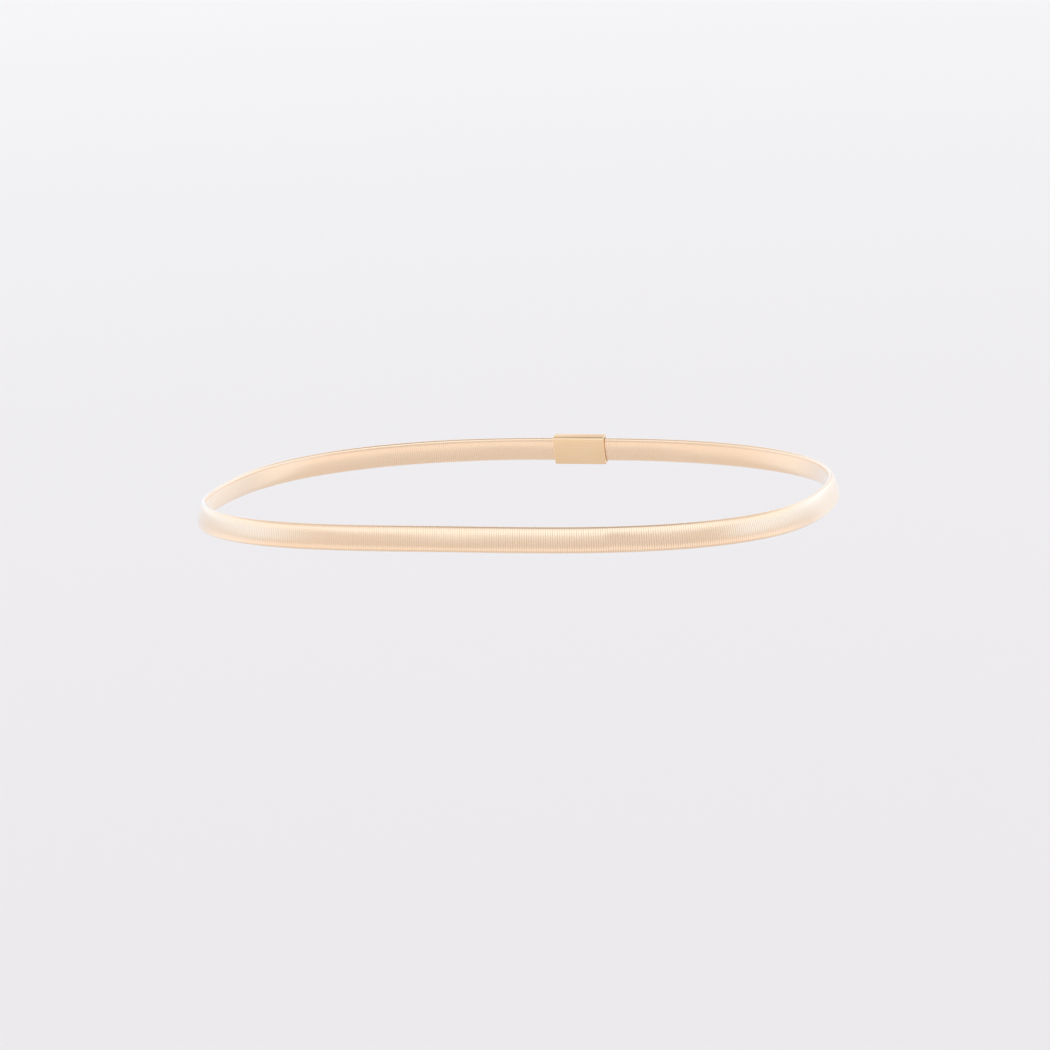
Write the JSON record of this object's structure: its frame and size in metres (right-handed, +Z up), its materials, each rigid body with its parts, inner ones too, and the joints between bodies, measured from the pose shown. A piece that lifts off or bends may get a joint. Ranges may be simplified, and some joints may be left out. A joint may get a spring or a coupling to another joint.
{
  "type": "elastic stretch belt",
  "caption": "Slim stretch belt: a flat oval coil of gilt spring wire worn round the waist, its ends held by a plain sleeve clasp.",
  "frame": {"origin": "middle of the waist opening, half way up the coil at the clasp and at the middle of the plain side", "axes": "+Z up along the wearer's body, X across the waist at its widest, -Y to the plain side of the belt and +Y to the clasp"},
  "size_m": [0.254, 0.1918, 0.0137],
  "materials": {
    "gilt_wire": "pale gold plating on fine close-wound spring wire, satin",
    "gilt_clasp": "pale gold plating, finely brushed"
  },
  "bodies": {
    "root": {"coil": "gilt_wire", "clasp": "gilt_clasp"}
  },
  "joints": []
}
